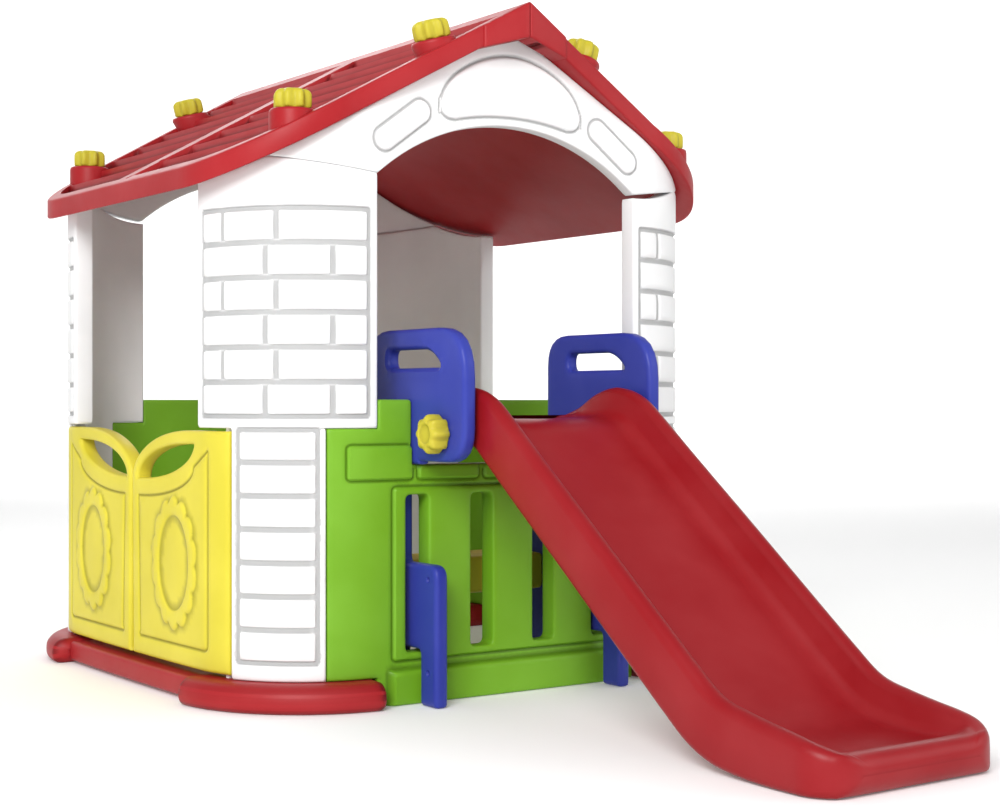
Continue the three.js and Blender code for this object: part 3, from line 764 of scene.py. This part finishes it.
drop_in = DOOR_TOP - SCOOP_LOW
leaf_outline = np.concatenate([
    rounded([(MEETING, DOOR_LOW, 8), (LEAF_END, DOOR_LOW), (LEAF_END, DOOR_TOP)]),
    quarter(REACH - 40, drop_in, MEETING, True)[::-1]])
loop_hole = np.concatenate([quarter(REACH - 40 - HANDLE_W, drop_in - HANDLE_W, HANDLE_W, True),
                            quarter(REACH - 34, drop_in - 20, HANDLE_W, False)[::-1][1:-1]])
sag_line = quarter(REACH - 44, 62, 34, False) - (0, 34)
panel_side = LEAF_END - 62
door_panel = np.concatenate([sag_line, rounded([(panel_side, 468, 8), (panel_side, 96, 14), (34, 96, 14)])])
MEDAL = (198, 250)                        # middle of the medallion


def medal_loop(rx, ry, scallop=0.0, lobes=14):
    """An ellipse round the medallion's middle, with a scalloped edge if asked for."""
    a = np.linspace(0, 2 * math.pi, 168, endpoint=False)
    k = 1 + scallop * np.abs(np.sin(lobes * a / 2)) - scallop / 2
    return np.stack([MEDAL[0] + rx * k * np.cos(a), MEDAL[1] + ry * k * np.sin(a)], 1)


medal_rim = medal_loop(92, 122, 0.09)
medal_inner = medal_loop(66, 94)


def leaf_relief(p):
    """A sunk line round the panel, and a medallion with a scalloped rim."""
    total = groove_relief(p, [door_panel], 3.2, 3.8)
    rim = smooth((depth_in(p, medal_rim) + 1.5) / 6)
    bowl = smooth((depth_in(p, medal_inner) + 1.5) / 7)
    return total + 4.2 * rim - 4.6 * bowl + 1.5 * smooth(depth_in(p, medal_inner) / 60)


leaf_marks = beside(door_panel, (-4, -1.8, 0, 1.8, 4), 6)
leaf_marks += beside(medal_rim, (-1.6, 1.2, 4.4), 5) + beside(medal_inner, (-1.6, 1.6, 5.2), 5)
for side, name, body in ((1, "door_front", "door_front_leaf"), (-1, "door_back", "door_back_leaf")):
    points, faces = sheet_mesh(
        leaf_outline, lambda u, v, h, s=side: wall(s * u, v, h, 3, INSET, DOOR_BOW), DOOR_T,
        lines(0, LEAF_END, 10), lines(DOOR_LOW, DOOR_TOP, 11), holes=[loop_hole], relief=leaf_relief,
        marks=leaf_marks, edge=7, step=5, clear=2.4)
    if side < 0:
        faces = flipped(faces)
    finish(make_mesh(name + "_moulded", points, faces), "door_yellow", body, name)

# ------------------------------------------------------------------ slide
SLIDE_PATH = [      # underside of the bed: y, z, slope, share of the rim's height, rise into the front lip
    (-492, 480, 0, 0.15, 0), (-540, 481, 0, 0.4, 0), (-590, 483, 0.02, 0.8, 0), (-640, 484, 0.12, 1, 0),
    (-680, 475, 0.42, 1, 0), (-720, 446, 0.70, 1, 0), (-800, 384, 0.765, 1, 0), (-960, 262, 0.765, 1, 0),
    (-1120, 139, 0.765, 1, 0), (-1200, 78, 0.74, 1, 0), (-1256, 38, 0.6, 1, 0), (-1310, 15, 0.3, 1, 0),
    (-1370, 5, 0.1, 0.95, 0), (-1430, 1, 0.02, 0.84, 0), (-1470, 0.5, 0, 0.74, 0.05),
    (-1500, 0.5, 0, 0.63, 0.26), (-1522, 1, 0, 0.51, 0.6), (-1540, 2, 0, 0.38, 0.82)]
LIP_Y, LIP_R, NOSE = -1561, 70, 21        # front of the lip, its corners in plan, depth of its round nose
SLIDE_HALF, RIM_W, RIM_H, BED_T = slide_high.x, 34, 58, 42


def slide_section(share, lip):
    """Half outline [across, up], from under the bed round the rim to the bed's middle."""
    w, top = SLIDE_HALF, BED_T + RIM_H * share
    r = RIM_W / 2
    under = np.array([[0, 0], [w * 0.5, 0], [w - 44, 0], [w - 10, 0.5], [w - 4, 2.5], [w - 1, 6.5], [w, 12],
                      [w, (19 + top - r) / 2]])
    crown = arc(w - r - 1, top - r, r, 0, 165, 9)
    inner = np.array([[w - RIM_W - 5, BED_T + 14 * share + 4], [w - RIM_W - 12, BED_T + 5 * share + 1.5],
                      [w - RIM_W - 24, BED_T + 0.8], [w - RIM_W - 40, BED_T], [w * 0.4, BED_T - 1.5],
                      [0, BED_T - 2.5]])
    crown, inner = crown[:5], np.concatenate([crown[5:], inner])
    inner[:, 1] += lip * (top - 1.5 - inner[:, 1])    # the bed rises to the rim's top at the front lip
    return np.concatenate([under, crown, inner])


def spline(rows, count):
    """Catmull-Rom through rows of numbers."""
    rows = np.array(rows, float)
    padded = np.concatenate([rows[:1] * 2 - rows[1:2], rows, rows[-1:] * 2 - rows[-2:-1]])
    out = []
    for t in np.linspace(0, len(rows) - 1, count):
        i = min(int(t), len(rows) - 2)
        f = t - i
        a, b, c, d = padded[i:i + 4]
        square, cube = 2 * a - 5 * b + 4 * c - d, 3 * b - a - 3 * c + d
        out.append(0.5 * (2 * b + (c - a) * f + square * f ** 2 + cube * f ** 3))
    return np.array(out)


def lip_width(y):
    """Share of the slide's half width at y: the front corners are rounded in plan."""
    back = min(max(y - LIP_Y, 0), LIP_R)
    return 1 - (LIP_R - math.sqrt(LIP_R ** 2 - (LIP_R - back) ** 2)) / SLIDE_HALF


def end_faces(base, n, flip):
    """Faces that close a ring of n points with strips between its two mirrored halves."""
    faces = []
    for i in range(n // 2):
        a, b = base + i, base + i + 1
        c, d = base + (n - i) % n, base + (n - i - 1) % n
        quad = [v for k, v in enumerate((a, b, d, c)) if v not in (a, b, d, c)[:k]]
        if len(quad) > 2:
            faces.append(tuple(quad if flip else quad[::-1]))
    return faces


stations = []
for y, z, slope, share, lip in spline(SLIDE_PATH, 170):
    half = slide_section(np.clip(share, 0.12, 1), np.clip(lip, 0, 1))
    full = np.concatenate([half, (half * (-1, 1))[::-1][1:-1]])
    t = math.atan(slope)
    across, up = full.T
    stations.append(np.stack([lip_width(y) * across, y - math.sin(t) * up, z + math.cos(t) * up], 1))
# the top end is closed with a small rounding, and the front lip with a round nose
ring = stations[0]
stations.insert(0, ring.mean(0) + (ring - ring.mean(0)) * (0.985, 1, 0.93) + (0, 3, 0))
ring = stations[-1]
middle = (ring.min(0) + ring.max(0)) / 2
for a in np.radians(np.linspace(7, 86, 13)):
    nose_y = middle[1] - NOSE * math.sin(a)
    scale = (lip_width(nose_y) / lip_width(middle[1]), 1, math.cos(a))
    stations.append(middle + (ring - middle) * scale + (0, nose_y - middle[1], 0))
n = len(stations[0])
faces = grid_faces(len(stations), n, close_v=True)
faces += end_faces(0, n, False) + end_faces((len(stations) - 1) * n, n, True)
finish(make_mesh("slide_moulded", np.concatenate(stations), faces, 60), "slide_red", "house", "slide")

# ------------------------------------------------------------------ slide side frames, steps, knobs
FRAME_T = frame_high.x - frame_low.x
FRAME_X = -(frame_low.x + frame_high.x) / 2
frame_outline = rounded([                 # (y, z, size of the rounding)
    (-384, 690, 62), (-713, 690, 92), (-713, 447, 62), (-562, 447, 2), (-558, 441, 2), (-503, 441),
    (-503, 259, 12), (-622, 259, 26), (-622, 0.5, 8), (-566, 0.5, 8), (-566, 102, 12), (-497, 102, 12),
    (-497, 0.5, 8), (-236, 0.5, 8), (-236, 262, 30), (-384, 420, 30)])
hand_slot = rounded([(-455, 618, 16), (-455, 652, 16), (-600, 652, 30), (-640, 618, 16)])
PIT_Y, PIT_ZS = -594, (232, 62)           # screw pits on the foot


def frame_relief(p):
    """A rolled rim round the hand slot and two screw pits on the foot."""
    total = 2.4 * np.exp(-((distance(p, hand_slot) - 9) / 5) ** 2)
    for z in PIT_ZS:
        total = total - 5 * smooth((6 - np.hypot(p[:, 0] - PIT_Y, p[:, 1] - z)) / 2)
    return total


frame_marks = [arc(PIT_Y, z, r, 0, 340, 17) for z in PIT_ZS for r in (3, 4.6, 6.4)]
for side, name in ((-1, "side_frame_left"), (1, "side_frame_right")):
    outer = side * (FRAME_X + FRAME_T / 2 - 0.1)
    points, faces = sheet_mesh(
        frame_outline, lambda u, v, h, s=side, o=outer: np.stack([o + s * h, u, v], 1), FRAME_T - 0.2,
        lines(-713, -236, 13), lines(0, 690, 13), holes=[hand_slot], relief=frame_relief, marks=frame_marks,
        edge=8, clear=3)
    if side < 0:
        faces = flipped(faces)
    finish(make_mesh(name + "_moulded", points, faces), "blue", "house", name)

RIB_PITCH, RIB_DEPTH = 16, 1.6
for name in ("step_lower", "step_upper"):
    low, high = node_box(name)
    front, back = low.y - HOUSE_Y, high.y - HOUSE_Y
    y_mid, y_half = (low.y + high.y) / 2 - HOUSE_Y, (high.y - low.y) / 2

    def tread(p):
        """Fine anti-slip ribs along the tread."""
        along = p[:, 1] - y_mid
        free = smooth((y_half - 14 - np.abs(along)) / 4) * smooth((high.x - 16 - np.abs(p[:, 0])) / 4)
        return -RIB_DEPTH * free * (0.5 + 0.5 * np.cos(along * 2 * math.pi / RIB_PITCH))

    points, faces = sheet_mesh(
        box_loop(low.x, high.x, front, back, 6), lambda u, v, h, z=high.z: np.stack([u, v, z + h], 1),
        high.z - low.z, lines(low.x, high.x, 30), lines(front, back, 2.6), relief=tread, edge=9, step=8)
    finish(make_mesh(name + "_moulded", points, faces), "door_yellow", "house", name)

for side, name in ((-1, "slide_knob_left"), (1, "slide_knob_right")):
    low, high = node_box(name)
    axis_y, axis_z = (low.y + high.y) / 2 - HOUSE_Y, (low.z + high.z) / 2
    x, y, z = knob_points.T
    base = FRAME_X + FRAME_T / 2 + GAP
    points = np.stack([side * (base + z), axis_y + x * side, axis_z + y], 1)
    finish(make_mesh(name + "_cap", points, knob_faces, 60), "knob_yellow", "house", name)

# ------------------------------------------------------------------ hinge pins stay as packed
for node, ob in frame["nodes"].items():
    if not ob.hide_render:
        slot = next(s["material_slot"] for s in frame["record"]["subparts"] if s["node"] == node)
        for holder in ob.material_slots:
            holder.material = MATERIALS[slot]


# ------------------------------------------------------------------ floor, light and camera
def flat_material(name, colour, roughness, glow):
    """A plain material with a little light of its own, so that the floor stays pale in shadow."""
    mat = bpy.data.materials.new(name)
    mat.use_nodes = True
    shader = mat.node_tree.nodes["Principled BSDF"]
    shader.inputs["Base Color"].default_value = (*colour, 1)
    shader.inputs["Roughness"].default_value = roughness
    shader.inputs["Emission Color"].default_value = (1, 1, 1, 1)
    shader.inputs["Emission Strength"].default_value = glow
    return mat


# a round floor that curves up into a wall beyond any camera, in metres, so that all sides can be seen
FLOOR_R, BEND_R, WALL_TOP, AROUND = 11.0, 3.0, 10.0, 96
sweep = [(FLOOR_R * k / 4, 0) for k in range(1, 5)]
sweep += [(FLOOR_R + BEND_R * math.sin(a), BEND_R - BEND_R * math.cos(a))
          for a in np.linspace(0.1, math.pi / 2, 14)]
sweep.append((FLOOR_R + BEND_R, WALL_TOP))
verts = [(r * math.cos(a), r * math.sin(a), z) for r, z in sweep
         for a in np.linspace(0, 2 * math.pi, AROUND, endpoint=False)] + [(0, 0, 0)]
floor_faces = grid_faces(len(sweep), AROUND, close_v=True)
floor_faces += [(len(verts) - 1, k, (k + 1) % AROUND) for k in range(AROUND)]
mesh = bpy.data.meshes.new("backdrop")
mesh.from_pydata(verts, [], [list(map(int, f)) for f in floor_faces])
mesh.polygons.foreach_set("use_smooth", [True] * len(mesh.polygons))
backdrop = bpy.data.objects.new("backdrop", mesh)
bpy.context.scene.collection.objects.link(backdrop)
mesh.materials.append(flat_material("pale paper", (0.93, 0.93, 0.93), 0.9, 0.10))
backdrop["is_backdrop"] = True

world = bpy.data.worlds.new("soft daylight")
bpy.context.scene.world = world
world.use_nodes = True
world.node_tree.nodes["Background"].inputs["Color"].default_value = (1, 1, 1, 1)
world.node_tree.nodes["Background"].inputs["Strength"].default_value = 0.44


def softbox(name, at, aim, size, power):
    """A rectangular light at one place, turned towards another, in metres and watts."""
    light = bpy.data.lights.new(name, "AREA")
    light.shape, light.size, light.size_y, light.energy = "RECTANGLE", size[0], size[1], power
    ob = bpy.data.objects.new(name, light)
    ob.location = at
    ob.rotation_euler = (Vector(aim) - Vector(at)).to_track_quat("-Z", "Y").to_euler()
    bpy.context.scene.collection.objects.link(ob)
    ob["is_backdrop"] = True


softbox("key", (-3.9, -3.6, 3.3), (0, 0.2, 0.6), (2.6, 2.6), 290)
softbox("fill", (3.4, -4.2, 2.6), (0, 0, 0.6), (3.5, 2.5), 45)
softbox("back", (0.5, 4.2, 3.6), (0, 0.4, 0.9), (3.5, 2.0), 60)
softbox("wash", (4.5, 6.4, 6.0), (8.0, 11.4, 1.5), (5.0, 2.5), 330)

SENSOR, FOCAL = 36, 1.744                 # focal length as a share of the sensor's width
CAMERA_AT = (-1939, -3262, 558)           # from the middle of the house
CAMERA_YAW = 35.08                        # degrees to the right of straight back
SHIFT_Y = -0.0049                         # share of the picture's width
camera = bpy.data.cameras.new("camera")
camera.sensor_width = SENSOR
camera.lens = SENSOR * FOCAL
camera.shift_y = SHIFT_Y
cam = bpy.data.objects.new("camera", camera)
cam.location = (Vector(CAMERA_AT) + Vector((0, HOUSE_Y, 0))) * MM
yaw = math.radians(CAMERA_YAW)
cam.rotation_euler = Vector((math.sin(yaw), math.cos(yaw), 0)).to_track_quat("-Z", "Y").to_euler()
bpy.context.scene.collection.objects.link(cam)
bpy.context.scene.camera = cam
bpy.context.scene.view_settings.view_transform = "Standard"

low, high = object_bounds()
